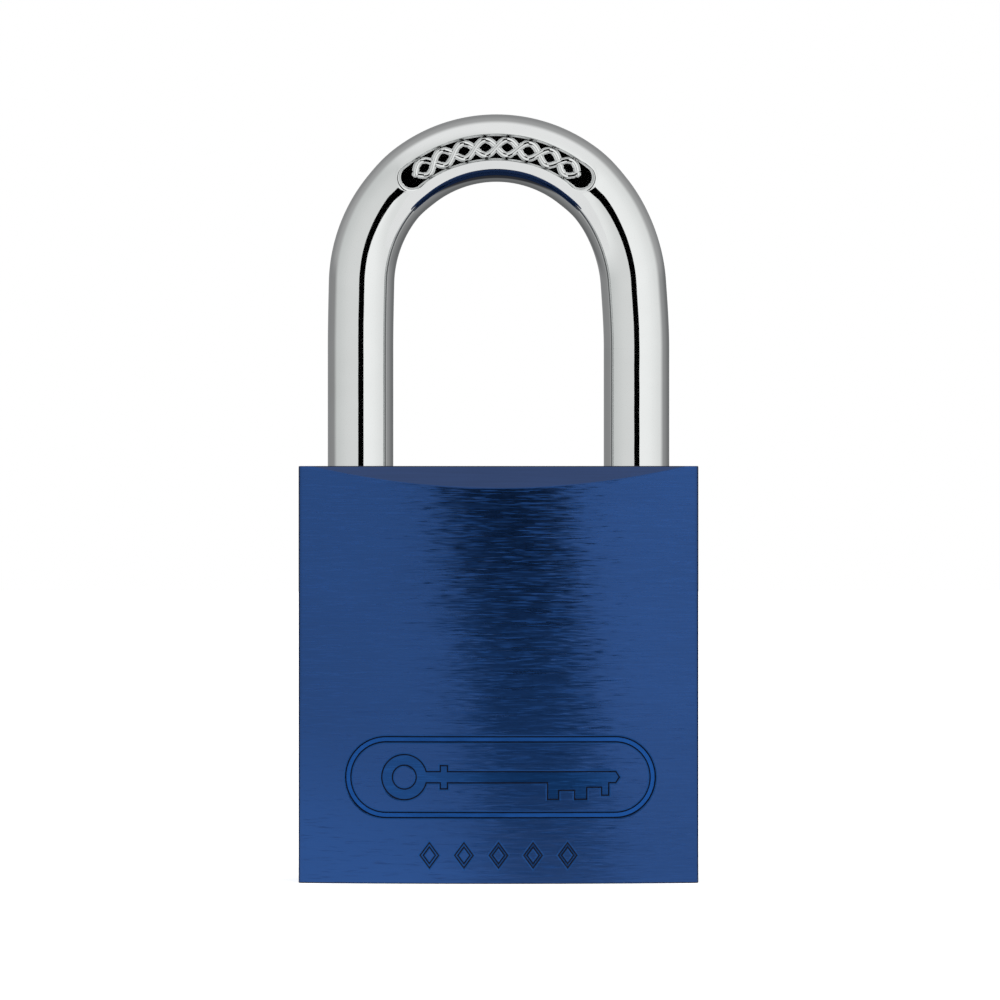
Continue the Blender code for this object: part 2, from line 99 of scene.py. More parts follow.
# Everything stamped into the front face: a lip, a steep wall and a floor
FLOOR, WALL, LIP = range(3)
LIP_WIDTH = 0.12 * MM
LIP_DEPTH = 0.045 * MM
STAMP_WALL = 0.14 * MM
STAMP_CLEAR = 0.6 * MM
STAMP_STRIP = 0.5 * MM

# Stamped border
STAMP_MIDDLE = 0.2 * MM
BORDER_HEIGHT = 10.64 * MM
BORDER_HALF_LENGTH = 15.66 * MM
BORDER_RADIUS = 4.23 * MM
BORDER_WIDTH = 0.90 * MM
BORDER_DEPTH = 0.25 * MM

# Key sign in the border. The outline of its blade is in millimetres from the border's middle
SIGN_DEPTH = 0.22 * MM
RING_CENTRE = STAMP_MIDDLE - 9.6 * MM
RING_RADIUS = 2.45 * MM
RING_HOLE = 1.0 * MM
KEY_BLADE = [
    (-7.9, 0.75), (-7.9, -0.75), (-6.2, -0.75), (-6.2, -1.35), (-5.1, -1.35), (-5.1, -0.75),
    (4.5, -0.75), (4.5, -2.4), (6.0, -2.4), (6.0, -1.5), (7.2, -1.5), (7.2, -2.4), (8.8, -2.4),
    (8.8, -1.2), (9.9, -1.2), (9.9, -2.0), (11.0, -2.0), (11.0, -0.75), (11.6, -0.75), (12.1, 0.0),
    (11.6, 0.75), (-5.1, 0.75), (-5.1, 1.35), (-6.2, 1.35), (-6.2, 0.75),
]

# Row of lozenges under the border
MARK_COUNT = 5
MARK_HEIGHT = 2.85 * MM
MARK_PITCH = 3.45 * MM
MARK_HALF_WIDTH = 1.16 * MM
MARK_HALF_HEIGHT = 1.58 * MM
MARK_LINE = 0.64 * MM
MARK_DEPTH = 0.16 * MM

# Shackle bar. Up the bow it grows fuller, between heights above the bow's centre given in bow radii
SHACKLE_LOW, SHACKLE_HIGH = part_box("shackle")
BAR_RADIUS = 3.3 * MM
BOW_BAR_RADIUS = 3.4 * MM
LEG_SPREAD = SHACKLE_HIGH.x - BAR_RADIUS
BOW_RADIUS = 13.5 * MM
BOW_MIDDLE = -0.21 * MM
BOW_CENTRE = SHACKLE_HIGH.z - BOW_RADIUS - BOW_BAR_RADIUS
BOW_FULL_START = 0.62
BOW_FULL_RISE = 0.17
FLARE_TOP = BOW_CENTRE + 6.25 * MM
FLARE_BOTTOM = BOW_CENTRE - 6.75 * MM
HEEL_END = SHACKLE_LOW.z
TOE_END = 32.3 * MM
END_ROUND = 0.8 * MM

# Cuts in the shackle's legs
NOTCH_DEPTH = 1.75 * MM
NOTCH_HALF_HEIGHT = 2.4 * MM
NOTCH_SLOPE = 0.5 * MM
FLAT_DEPTH = 1.7 * MM
FLAT_BOTTOM = 15.9 * MM
FLAT_TOP = 30.2 * MM
NECK_TOP = 18.1 * MM

# Sunk panel on the bow, with a lip round its ends
PANEL_HALF_WIDTH = 1.33 * MM
PANEL_HALF_ANGLE = math.radians(39.0)
PANEL_FLOOR = 2.75 * MM
PANEL_WALL = 0.2 * MM
PANEL_LIP = 0.35 * MM
PANEL_LIP_HEIGHT = 0.035 * MM
PANEL_LIP_START = 1.6 * MM
PANEL_LIP_RISE = 1.4 * MM

# Braid in the panel: two strands with ridged tops
BRAID_REACH = 0.76 * MM
BRAID_WAVES = 4
BRAID_LENGTH = 0.95
BRAID_HALF_WIDTH = 0.31 * MM
BRAID_BEVEL = 0.13 * MM
BRAID_HEIGHT = 0.37 * MM
BRAID_ROOF = 0.27
BRAID_OVERLAP = 0.06 * MM

# How finely the shackle is divided, along the bar and round it
PANEL_STEPS = 280
PANEL_MARGIN = 2.2
BOW_STEPS = 44
FLARE_STEP = 0.25 * MM
FLARE_STEPS = 27
LEG_STEP = 1.0 * MM
LAST_STEP = 1.4 * MM
LAST_MARK = 0.9 * MM
EDGE_GAP = 0.01 * MM
END_STEPS = 5
FRONT_HALF_ANGLE = math.radians(28.0)
FRONT_SIDES = 96
BACK_SIDES = 64

# Pins and stoppers. The rounding is a share of the edge, the dimple's sizes are shares of the radius
PIN_EDGE = 0.12 * MM
PIN_ROUND = 0.3
DIMPLE_RADIUS = 0.3
DIMPLE_DEPTH = 0.15
PIN_SIDES = 56

# Key plug. The keyway's outline is in millimetres
PLUG_CHAMFER = 0.35 * MM
PLUG_END = 32.9 * MM
GROOVE_RADIUS = 4.9 * MM
GROOVE_LOW = 28.6 * MM
GROOVE_HIGH = 30.4 * MM
KEYWAY = [
    (-1.0, -4.7), (1.0, -4.7), (1.0, -3.3), (0.3, -2.8), (0.3, -1.8), (1.0, -1.3), (1.0, 2.4),
    (-1.0, 2.4), (-1.0, 0.0), (-0.35, -0.4), (-0.35, -1.2), (-1.0, -1.6),
]
KEYWAY_LENGTH = 30.0 * MM
PLUG_CHAMBER_START = 0.4 * MM
PLUG_CHAMBER_END = 7.0 * MM
TONGUE_HALF_WIDTH = 0.9 * MM
TONGUE_HALF_DEPTH = 3.0 * MM
TONGUE_SUNK = 0.5 * MM

# Springs: coil radius, wire radius, turns, and how much closer the end turns lie
LIFT_COIL = (2.45 * MM, 0.35 * MM, 6, 0.02)
DRIVER_COIL = (0.95 * MM, 0.2 * MM, 5, 0.07)
TURN_STEPS = 28
WIRE_SIDES = 12

# Camera. The frame is this wide at the lock's nearer edges
CAMERA_DISTANCE = 0.95
CAMERA_HEIGHT = 38.3 * MM
CAMERA_SIDE = 0.15 * MM
FRAME_WIDTH = 0.1
SENSOR_WIDTH = 36.0

# Floor, white sheet and dark card
FLOOR_HALF = 3.0
FLOOR_GLOW = 0.55
FLOOR_WHITE = 0.92
SHEET_HALF_WIDTH = 0.2
SHEET_REACH = 0.11
SHEET_DROP = 0.0002
SHEET_GLOW = 1.16
CARD_BEHIND = 0.03
CARD_MIDDLE = 0.020
CARD_HALF_WIDTH = 0.163
CARD_LOW = -0.80
CARD_HIGH = 0.70

# Light of the room by direction, some as (nearer, farther) pairs
ROOM_LEFT = ((1.02, 1.03, 1.02), (0.84, 0.86, 0.85))
ROOM_RIGHT = ((1.33, 1.34, 1.33), (1.08, 1.09, 1.08))
ROOM_BACK_LEFT = ((0.37, 0.37, 0.372), (0.32, 0.323, 0.326))
ROOM_BACK_RIGHT = ((0.42, 0.422, 0.425), (0.20, 0.203, 0.206))
ROOM_BACK_HIGH = ((0.54, 0.54, 0.54), (0.33, 0.332, 0.335))
ROOM_BACK_LOW = ((0.34, 0.342, 0.345), (0.17, 0.173, 0.176))
ROOM_ABOVE = (1.22, 1.22, 1.22)
ROOM_FRONT_FLOOR_LEFT = (1.24, 1.25, 1.24)
ROOM_FRONT_FLOOR_RIGHT = (1.12, 1.13, 1.12)
ROOM_BELOW = (0.04, 0.042, 0.05)
SEEN_WHITE = (1.0, 1.0, 1.0)

# Where in the direction's x, y or z one part of the room turns into the next
FRONT_TO_SIDE = (-1.0, 0.2)
LEFT_TO_RIGHT = (-0.15, 0.15)
LEVEL_TO_ABOVE = (0.6, 0.95)
FLOOR_LEFT_TO_RIGHT = (-0.3, 0.3)
LEVEL_TO_FLOOR = (-0.05, -0.35)
NEAR_TO_FAR = (0.3, 0.95)
BACK_LEFT_TO_RIGHT = (-0.1, 0.1)
BACK_TO_HIGH = (0.05, 0.2)
BACK_TO_LOW = (-0.05, -0.2)
LIT_TO_BACK = (-0.02, 0.36)
STEEP_DOWN = (-0.74, -0.84)
DOWN_BEHIND = (-0.25, -0.15)

# Blue dye as (darker, paler) base colours, and its tint at grazing angles
FACE_DYE = ((0.0114, 0.0465, 0.163), (0.0148, 0.0590, 0.205))
PRESSED_DYE = ((0.0070, 0.044, 0.158), (0.0100, 0.056, 0.196))
CHAMFER_DYE = ((0.0070, 0.030, 0.108), (0.0096, 0.037, 0.132))
TOP_DYE = ((0.0050, 0.021, 0.078), (0.0066, 0.027, 0.096))
# Nearly black: painted shade on the broken edges and on the stamps' steep walls
PAINTED_EDGE_SHADE = ((0.003, 0.005, 0.017), (0.006, 0.010, 0.028))
STAMPED_DYE = ((0.012, 0.072, 0.270), (0.017, 0.092, 0.340))
BORE_DYE = ((0.008, 0.04, 0.14), (0.012, 0.055, 0.19))
EDGE_TINT = (0.32, 0.50, 0.78, 1.0)

# Bare metals as (darker, paler) base colours and (least, most) roughness
CHROME = ((0.60, 0.61, 0.61), (0.63, 0.64, 0.64), (0.035, 0.06))
CHROME_WAVE = 0.003
BRASS = ((0.62, 0.43, 0.17), (0.72, 0.52, 0.23), (0.24, 0.36))
STEEL = ((0.42, 0.42, 0.43), (0.55, 0.55, 0.56), (0.24, 0.36))
SPRING_WIRE = ((0.30, 0.30, 0.32), (0.42, 0.42, 0.44), (0.28, 0.4))

# Brush lines: scale along and across them, seed, detail and roughness of the noise
FINE_LINES = (260.0, 9000.0, 1.7, 3.0, 0.6)
STREAKS = (640.0, 8200.0, 8.3, 1.0, 0.4)
SCRATCHES = (480.0, 9200.0, 12.6, 1.0, 0.4)
BROAD_LINES = (130.0, 2600.0, 4.1, 2.0, 0.5)

# Brushed face: where it is paler (at the lower left as a painted reflection of the white sheet, and in
# worn lines), how rough its lines are, and how far they turn the normal
SHEEN_SLANT = 0.45
SHEEN_FROM = 9.0 * MM
SHEEN_TO = -5.0 * MM
LOW_LEFT_SHEEN = 1.18
WORN_NOISE = (0.57, 0.72)
WORN_DYE = 1.40
WORN_ROUGHNESS = 0.32
LINE_ROUGHNESS = (0.235, 0.285)
LOW_ROUGHNESS = 0.055
BRUSHED_ANISOTROPY = 0.9
FACE_COAT_ROUGHNESS = 0.17
MILLED_COAT_ROUGHNESS = 0.25
STREAK_SHARPNESS = 1.8
STREAK_SWING = 0.17
BROAD_SWING = 0.010
FACE_TWIST = (-0.056, 0.005)
LINE_LIFT = 0.04

# Most values of a noise lie between these
NOISE_LOW, NOISE_HIGH = 0.3, 0.7

UPRIGHT = Euler((0.0, 0.0, 0.0))
ALONG_X = Euler((0.0, math.radians(90.0), 0.0))
ALONG_Y = Euler((math.radians(-90.0), 0.0, 0.0))


# -------------------- shader nodes

def new_material(name):
    material = bpy.data.materials.new(name)
    material.use_nodes = True
    tree = material.node_tree
    return material, tree, tree.nodes["Principled BSDF"]


def node(tree, kind, **values):
    made = tree.nodes.new(kind)
    for key, value in values.items():
        setattr(made, key, value)
    return made


def feed(tree, socket, value):
    """Set a socket to a number or tuple, or link another socket to it."""
    if isinstance(value, (int, float, tuple)):
        socket.default_value = value
    else:
        tree.links.new(value, socket)


def math_node(tree, operation, first, second=0.0):
    made = node(tree, "ShaderNodeMath", operation=operation)
    feed(tree, made.inputs[0], first)
    feed(tree, made.inputs[1], second)
    return made.outputs[0]


def added(tree, first, second):
    return math_node(tree, "ADD", first, second)


def times(tree, first, second):
    return math_node(tree, "MULTIPLY", first, second)


def vector_math(tree, operation, first, second=None):
    made = node(tree, "ShaderNodeVectorMath", operation=operation)
    feed(tree, made.inputs[0], first)
    if second is not None:
        feed(tree, made.inputs[1], second)
    return made.outputs["Vector"]


def scaled(tree, vector, amount):
    made = node(tree, "ShaderNodeVectorMath", operation="SCALE")
    tree.links.new(vector, made.inputs[0])
    tree.links.new(amount, made.inputs["Scale"])
    return made.outputs["Vector"]


def combined(tree, x, y, z):
    made = node(tree, "ShaderNodeCombineXYZ")
    for socket, value in zip(made.inputs, (x, y, z)):
        feed(tree, socket, value)
    return made.outputs["Vector"]


def split(tree, vector):
    made = node(tree, "ShaderNodeSeparateXYZ")
    tree.links.new(vector, made.inputs["Vector"])
    return made.outputs["X"], made.outputs["Y"], made.outputs["Z"]


def remap(tree, value, low, high, to_low, to_high):
    made = node(tree, "ShaderNodeMapRange")
    made.inputs["From Min"].default_value = low
    made.inputs["From Max"].default_value = high
    made.inputs["To Min"].default_value = to_low
    made.inputs["To Max"].default_value = to_high
    tree.links.new(value, made.inputs["Value"])
    return made.outputs["Result"]


def smooth_remap(tree, value, low, high):
    made = node(tree, "ShaderNodeMapRange", interpolation_type="SMOOTHSTEP")
    made.inputs["From Min"].default_value = low
    made.inputs["From Max"].default_value = high
    tree.links.new(value, made.inputs["Value"])
    return made.outputs["Result"]


def spread(tree, noise, low, high):
    """A noise's usual values stretched from low to high."""
    return remap(tree, noise, NOISE_LOW, NOISE_HIGH, low, high)


def blended(tree, factor, first, second):
    """Mix of two colours, each a tuple or a socket."""
    mix = node(tree, "ShaderNodeMix", data_type="RGBA")
    sockets = [socket for socket in mix.inputs if socket.type == "RGBA"]
    for socket, value in zip(sockets, (first, second)):
        feed(tree, socket, (*value, 1.0) if isinstance(value, tuple) else value)
    tree.links.new(factor, mix.inputs["Factor"])
    return [out for out in mix.outputs if out.type == "RGBA"][0]


def noise_at(tree, vector, detail, roughness):
    noise = node(tree, "ShaderNodeTexNoise")
    noise.inputs["Scale"].default_value = 1.0
    noise.inputs["Detail"].default_value = detail
    noise.inputs["Roughness"].default_value = roughness
    tree.links.new(vector, noise.inputs["Vector"])
    return noise.outputs["Fac"]


def object_place(tree):
    return node(tree, "ShaderNodeTexCoord").outputs["Object"]


def stretched_noise(tree, scale, detail, roughness=0.5, offset=(0.0, 0.0, 0.0)):
    """Noise in object space, drawn out by a different scale along each axis."""
    mapping = node(tree, "ShaderNodeMapping")
    mapping.inputs["Scale"].default_value = scale
    mapping.inputs["Location"].default_value = offset
    tree.links.new(object_place(tree), mapping.inputs["Vector"])
    return noise_at(tree, mapping.outputs["Vector"], detail, roughness)


def tilted_normal(tree, tilt):
    """The surface normal with a small vector added."""
    normal = node(tree, "ShaderNodeNewGeometry").outputs["Normal"]
    return vector_math(tree, "NORMALIZE", vector_math(tree, "ADD", normal, tilt))


def brush_frame(tree):
    """Directions along and across the brush lines, and the position measured along and across them.

    The lines run along X, and along Y on the two side faces.
    """
    normal = node(tree, "ShaderNodeNewGeometry").outputs["Normal"]
    normal_x, _, normal_z = split(tree, normal)
    side = math_node(tree, "GREATER_THAN", math_node(tree, "ABSOLUTE", normal_x), 0.7)
    level = math_node(tree, "GREATER_THAN", math_node(tree, "ABSOLUTE", normal_z), 0.9)
    front = math_node(tree, "SUBTRACT", 1.0, side)
    along = combined(tree, front, side, 0.0)
    across = vector_math(tree, "NORMALIZE", vector_math(tree, "CROSS_PRODUCT", normal, along))
    x, y, z = split(tree, object_place(tree))
    u = added(tree, times(tree, x, front), times(tree, y, side))
    upright = math_node(tree, "SUBTRACT", 1.0, level)
    v = added(tree, times(tree, z, upright), times(tree, y, level))
    return along, across, u, v


def brush_noise(tree, u, v, along_scale, across_scale, seed, detail, roughness):
    stretched = combined(tree, times(tree, u, along_scale), times(tree, v, across_scale), seed)
    return noise_at(tree, stretched, detail, roughness)


# -------------------- materials

def set_surface(tree, shader, colour, roughness, metallic=1.0):
    tree.links.new(colour, shader.inputs["Base Color"])
    tree.links.new(roughness, shader.inputs["Roughness"])
    shader.inputs["Metallic"].default_value = metallic


def set_coat(shader, weight, roughness):
    """The clear sealed layer over the dye, and the dye's own tint at grazing angles."""
    shader.inputs["Specular Tint"].default_value = EDGE_TINT
    shader.inputs["Coat Weight"].default_value = weight
    shader.inputs["Coat Roughness"].default_value = roughness


def brushed_colour(tree, dye, fine, worn, x, height):
    """Dye varied by the lines and in clouds, paler at the lower left as a painted reflection of the white
    sheet, and palest in worn lines.
    """
    dark, light = dye
    cloud = stretched_noise(tree, scale=(60.0,) * 3, detail=2.0, offset=(9.0, 2.0, 4.0))
    tone = added(tree, spread(tree, fine, 0.0, 0.5), spread(tree, cloud, 0.0, 0.5))
    # Painted reflection of the white sheet: the colour is paler towards the lower left
    slanted = added(tree, height, times(tree, x, SHEEN_SLANT))
    low_left_sheen = smooth_remap(tree, slanted, SHEEN_FROM, SHEEN_TO)
    paler = tuple(channel * LOW_LEFT_SHEEN for channel in light)
    colour = blended(tree, low_left_sheen, blended(tree, tone, dark, light), paler)
    return blended(tree, worn, colour, tuple(channel * WORN_DYE for channel in light))


def brushed_tilt(tree, along, across, fine, streak, broad, height, ragged):
    """The lines' turn of the normal: streaks and a twist with height along them, finer across them."""
    centred = times(tree, math_node(tree, "SUBTRACT", streak, 0.5), 2.0)
    steep = math_node(tree, "POWER", math_node(tree, "ABSOLUTE", centred), STREAK_SHARPNESS)
    sharp = times(tree, steep, math_node(tree, "SIGN", centred))
    swing = added(tree, times(tree, sharp, STREAK_SWING * ragged),
                  spread(tree, broad, -BROAD_SWING * ragged, BROAD_SWING * ragged))
    swing = added(tree, swing, remap(tree, height, 0.0, BODY_HEIGHT, *FACE_TWIST))
    lift = spread(tree, fine, -LINE_LIFT, LINE_LIFT)
    return vector_math(tree, "ADD", scaled(tree, along, swing), scaled(tree, across, lift))


def brushed_anodised(name, dye, coat, ragged):
    """Blue anodised aluminium with fine brush lines. Ragged is how strongly they break up a reflection."""
    material, tree, shader = new_material(name)
    along, across, u, v = brush_frame(tree)
    fine = brush_noise(tree, u, v, *FINE_LINES)
    streak = brush_noise(tree, u, v, *STREAKS)
    scratch = brush_noise(tree, u, v, *SCRATCHES)
    broad = brush_noise(tree, u, v, *BROAD_LINES)
    x, _, height = split(tree, object_place(tree))
    worn = remap(tree, scratch, *WORN_NOISE, 0.0, 1.0)
    coarser = added(tree, remap(tree, height, 0.0, BODY_HEIGHT, LOW_ROUGHNESS, 0.0),
                    times(tree, worn, WORN_ROUGHNESS * ragged))
    roughness = added(tree, spread(tree, broad, *LINE_ROUGHNESS), coarser)
    set_surface(tree, shader, brushed_colour(tree, dye, fine, worn, x, height), roughness)
    set_coat(shader, coat, FACE_COAT_ROUGHNESS)
    shader.inputs["Anisotropic"].default_value = BRUSHED_ANISOTROPY
    tree.links.new(across, shader.inputs["Tangent"])
    tilt = brushed_tilt(tree, along, across, fine, streak, broad, height, ragged)
    normal = tilted_normal(tree, tilt)
    tree.links.new(normal, shader.inputs["Normal"])
    tree.links.new(normal, shader.inputs["Coat Normal"])
    return material


def milled_anodised(name, dye, coat):
    """The cut faces: a satin finish with faint cutter lines and no brushing."""
    material, tree, shader = new_material(name)
    lines = stretched_noise(tree, scale=(140.0, 3800.0, 3800.0), detail=2.0, offset=(5.0, 3.0, 8.0))
    colour = blended(tree, spread(tree, lines, 0.0, 1.0), *dye)
    set_surface(tree, shader, colour, spread(tree, lines, 0.30, 0.36))
    set_coat(shader, coat, MILLED_COAT_ROUGHNESS)
    return material


def painted_edge_shade():
    """The broken edges and the steep walls of the stamps, painted nearly black as painted shade."""
    material, tree, shader = new_material("blue_anodised_painted_edge_shade")
    grain = stretched_noise(tree, scale=(900.0,) * 3, detail=2.0)
    colour = blended(tree, grain, *PAINTED_EDGE_SHADE)
    set_surface(tree, shader, colour, spread(tree, grain, 0.42, 0.52), metallic=0.6)
    shader.inputs["Specular IOR Level"].default_value = 0.3
    return material


def stamped_floor():
    """The pressed floor of the stamped border: smoother and a purer blue than the brushed face."""
    material, tree, shader = new_material("blue_anodised_stamped")
    grain = stretched_noise(tree, scale=(400.0, 400.0, 2500.0), detail=3.0, roughness=0.6)
    colour = blended(tree, spread(tree, grain, 0.0, 1.0), *STAMPED_DYE)
    set_surface(tree, shader, colour, spread(tree, grain, 0.36, 0.46))
    return material


def drilled_anodised():
    """The walls of the bores, with the rings a drill leaves."""
    material, tree, shader = new_material("blue_anodised_bore")
    rings = stretched_noise(tree, scale=(300.0, 300.0, 6000.0), detail=2.0)
    set_surface(tree, shader, blended(tree, rings, *BORE_DYE), spread(tree, rings, 0.34, 0.46))
    return material


def polished_chrome():
    """Bright chrome plate with a very faint waviness under it."""
    material, tree, shader = new_material("polished_chrome")
    dark, light, rough = CHROME
    haze = stretched_noise(tree, scale=(180.0,) * 3, detail=3.0, roughness=0.55)
    wave = stretched_noise(tree, scale=(420.0,) * 3, detail=1.0, roughness=0.4, offset=(4.0, 1.0, 7.0))
    colour = blended(tree, spread(tree, haze, 0.0, 1.0), dark, light)
    set_surface(tree, shader, colour, spread(tree, haze, *rough))
    tilt = spread(tree, wave, -CHROME_WAVE, CHROME_WAVE)
    tree.links.new(tilted_normal(tree, combined(tree, tilt, 0.0, tilt)), shader.inputs["Normal"])
    return material


def turned_metal(name, dark, light, rough):
    """Machined metal with fine random marks."""
    material, tree, shader = new_material(name)
    grain = stretched_noise(tree, scale=(3500.0,) * 3, detail=4.0, roughness=0.6)
    patch = stretched_noise(tree, scale=(210.0,) * 3, detail=2.0, offset=(2.0, 8.0, 3.0))
    colour = blended(tree, spread(tree, patch, 0.0, 1.0), dark, light)
    set_surface(tree, shader, colour, spread(tree, grain, *rough))
    bump = node(tree, "ShaderNodeBump")
    bump.inputs["Strength"].default_value = 0.15
    bump.inputs["Distance"].default_value = 0.05 * MM
    tree.links.new(grain, bump.inputs["Height"])
    tree.links.new(bump.outputs["Normal"], shader.inputs["Normal"])
    return material


# -------------------- mesh helpers

def add_object(name, shape, materials, location=(0.0, 0.0, 0.0), rotation=UPRIGHT, smooth=None):
    bmesh.ops.recalc_face_normals(shape, faces=shape.faces)
    mesh = bpy.data.meshes.new(name)
    shape.to_mesh(mesh)
    shape.free()
    for material in materials:
        mesh.materials.append(material)
    if smooth is not None:
        mesh.shade_smooth()
        mesh.set_sharp_from_angle(angle=math.radians(smooth))
    made = bpy.data.objects.new(name, mesh)
    made.location = location
    made.rotation_euler = rotation
    bpy.context.scene.collection.objects.link(made)
    return made


def cylinder(radius, low, high):
    """Outline of (radius, height) points for turned."""
    return [(0.0, low), (radius, low), (radius, high), (0.0, high)]


def turned(profile, steps):
    """Spin an outline of (radius, height) points about Z. It starts and ends on the axis."""
    shape = bmesh.new()
    points = [shape.verts.new((radius, 0.0, height)) for radius, height in profile]
    edges = [shape.edges.new(pair) for pair in zip(points, points[1:])]
    bmesh.ops.spin(shape, geom=points + edges, cent=(0.0, 0.0, 0.0), axis=(0.0, 0.0, 1.0),
                   angle=2.0 * math.pi, steps=steps)
    bmesh.ops.remove_doubles(shape, verts=shape.verts, dist=1e-7)
    return shape


def prism(outline, start, length):
    """An outline of (x, y) points drawn up along Z."""
    shape = bmesh.new()
    face = shape.faces.new([shape.verts.new((x, y, start)) for x, y in outline])
    grown = bmesh.ops.extrude_face_region(shape, geom=[face])
    moved = [part for part in grown["geom"] if isinstance(part, bmesh.types.BMVert)]
    bmesh.ops.translate(shape, verts=moved, vec=(0.0, 0.0, length))
    return shape


def filled(outline):
    """One face in the plane y = 0 from an outline of (x, z) points."""
    shape = bmesh.new()
    shape.faces.new([shape.verts.new((x, 0.0, z)) for x, z in outline])
    return shape


def bridge(shape, first, second):
    """A belt of faces between two rings of equally many points."""
    count = len(first)
    return [shape.faces.new((first[k], first[(k + 1) % count], second[(k + 1) % count], second[k]))
            for k in range(count)]


def close_ends(shape, rings):
    shape.faces.new(rings[0])
    shape.faces.new(list(reversed(rings[-1])))


def skin(shape, rings):
    """A closed tube through all rings."""
    for first, second in zip(rings, rings[1:]):
        bridge(shape, first, second)
    close_ends(shape, rings)


def combine(target, cutter, operation="DIFFERENCE"):
    modifier = target.modifiers.new(cutter.name, "BOOLEAN")
    modifier.object = cutter
    modifier.operation = operation
    modifier.solver = "EXACT"
    modifier.material_mode = "TRANSFER"


def drill(target, name, profile, location, rotation, material, steps):
    cutter = add_object(name, turned(profile, steps), [material], location, rotation)
    combine(target, cutter)
    return cutter


def bake_modifiers(target, cutters):
    """Make the modifiers' result the object's own mesh and remove the cutters."""
    depsgraph = bpy.context.evaluated_depsgraph_get()
    result = bpy.data.meshes.new_from_object(target.evaluated_get(depsgraph))
    target.modifiers.clear()
    target.data = result
    for cutter in cutters:
        bpy.data.objects.remove(cutter, do_unlink=True)


def smooth_step(t):
    t = min(max(t, 0.0), 1.0)
    return t * t * (3.0 - 2.0 * t)


# -------------------- lock body

def face_depth(x):
    """Distance of the convex front and back faces from the middle plane."""
    rise = HALF_DEPTH - SIDE_HALF_DEPTH
    radius = (HALF_WIDTH**2 + rise**2) / (2.0 * rise)
    return HALF_DEPTH - radius + math.sqrt(radius**2 - x**2)


def rounded(corners, reach):
    """A closed polygon of (y, z) corners with each corner turned into a short curve."""
    points = []
    for i, corner in enumerate(corners):
        here = Vector(corner)
        arms = []
        for other in (corners[i - 1], corners[(i + 1) % len(corners)]):
            arm = Vector(other) - here
            arms.append(here + arm.normalized() * min(reach, LONGEST_ARM * arm.length))
        for k in range(CURVE_STEPS + 1):
            t = k / CURVE_STEPS
            points.append((1 - t) ** 2 * arms[0] + 2 * t * (1 - t) * here + t**2 * arms[1])
    return points


def body_section(x, drawn_in, lowered):
    """Outline of the block in the plane at x, its faces drawn in by one inset and its ends by another."""
    depth = face_depth(x) - drawn_in
    top = BODY_HEIGHT - lowered
    flat = min(TOP_FLAT - drawn_in, depth - 0.5 * EDGE_ROUND)
    shoulder = top - (depth - flat)
    half = [(-depth, lowered), (-depth, shoulder), (-flat, top)]
    corners = half + [(-y, z) for y, z in reversed(half)]
    return [(x, y, z) for y, z in rounded(corners, EDGE_ROUND)]


def end_stations():
    """The last sections at one end, where the upright edge is rounded and the level edges are broken."""
    inner = HALF_WIDTH - CORNER_RADIUS
    xs = [inner + CORNER_RADIUS * math.sin(CORNER_STEP * k) for k in range(1, 6)]
    xs += [HALF_WIDTH - EDGE_ROUND * (1.0 - math.sin(EDGE_STEP * k)) for k in range(5)]
    stations = []
    for x in sorted(xs):
        drawn_in = CORNER_RADIUS - math.sqrt(max(CORNER_RADIUS**2 - (x - inner) ** 2, 0.0))
        past = max(x - (HALF_WIDTH - EDGE_ROUND), 0.0)
        lowered = EDGE_ROUND - math.sqrt(max(EDGE_ROUND**2 - past**2, 0.0))
        stations.append((x, drawn_in, lowered))
    return stations


def body_block():
    """The undrilled block: a skin through sections along X, with a material for each stretch of them."""
    inner = HALF_WIDTH - CORNER_RADIUS
    middle = [(inner * (2.0 * i / FACE_STEPS - 1.0), 0.0, 0.0) for i in range(FACE_STEPS + 1)]
    ends = end_stations()
    stations = [(-x, drawn_in, lowered) for x, drawn_in, lowered in reversed(ends)] + middle + ends
    shape = bmesh.new()
    rings = [[shape.verts.new(point) for point in body_section(*station)] for station in stations]
    for first, second in zip(rings, rings[1:]):
        at_end = abs(first[0].co.x + second[0].co.x) / 2.0 > HALF_WIDTH - EDGE_ROUND
        for k, face in enumerate(bridge(shape, first, second)):
            corner, step = divmod(k, CURVE_STEPS + 1)
            on_corner, after = SECTION_PARTS[corner]
            part = after if step == CURVE_STEPS else on_corner
            face.material_index = EDGE if at_end else part
    close_ends(shape, rings)
    return shape


def press_in(shape, depth):
    """Turn faces drawn in the plane y = 0 into a cutter that follows the convex face.

    From the surface down it has a shallow lip, a steep wall and a floor.
    """
    bmesh.ops.translate(shape, verts=shape.verts, vec=(0.0, -STAMP_CLEAR, 0.0))
    grown = bmesh.ops.extrude_face_region(shape, geom=shape.faces[:])
    deep = [part for part in grown["geom"] if isinstance(part, bmesh.types.BMFace)]
    sink(shape, deep, STAMP_CLEAR)
    for part, width, drop in ((LIP, LIP_WIDTH, LIP_DEPTH), (WALL, STAMP_WALL, depth - LIP_DEPTH)):
        walls = bmesh.ops.inset_region(shape, faces=deep, thickness=width, depth=0.0, use_even_offset=True)
        for face in walls["faces"]:
            face.material_index = part
        sink(shape, deep, drop)
    for face in deep:
        face.material_index = FLOOR
    across = [vert.co.x for vert in shape.verts]
    position = min(across) + STAMP_STRIP
    while position < max(across):
        bmesh.ops.bisect_plane(shape, geom=shape.verts[:] + shape.edges[:] + shape.faces[:],
                               plane_co=(position, 0.0, 0.0), plane_no=(1.0, 0.0, 0.0))
        position += STAMP_STRIP
    for vert in shape.verts:
        vert.co.y -= face_depth(vert.co.x)
    return shape


def sink(shape, faces, distance):
    points = list({vert for face in faces for vert in face.verts})
    bmesh.ops.translate(shape, verts=points, vec=(0.0, distance, 0.0))


def band(outer, inner):
    """Faces between two loops of (x, z) points of equal count."""
    shape = bmesh.new()
    bridge(shape, *[[shape.verts.new((x, 0.0, z)) for x, z in loop] for loop in (outer, inner)])
    return shape


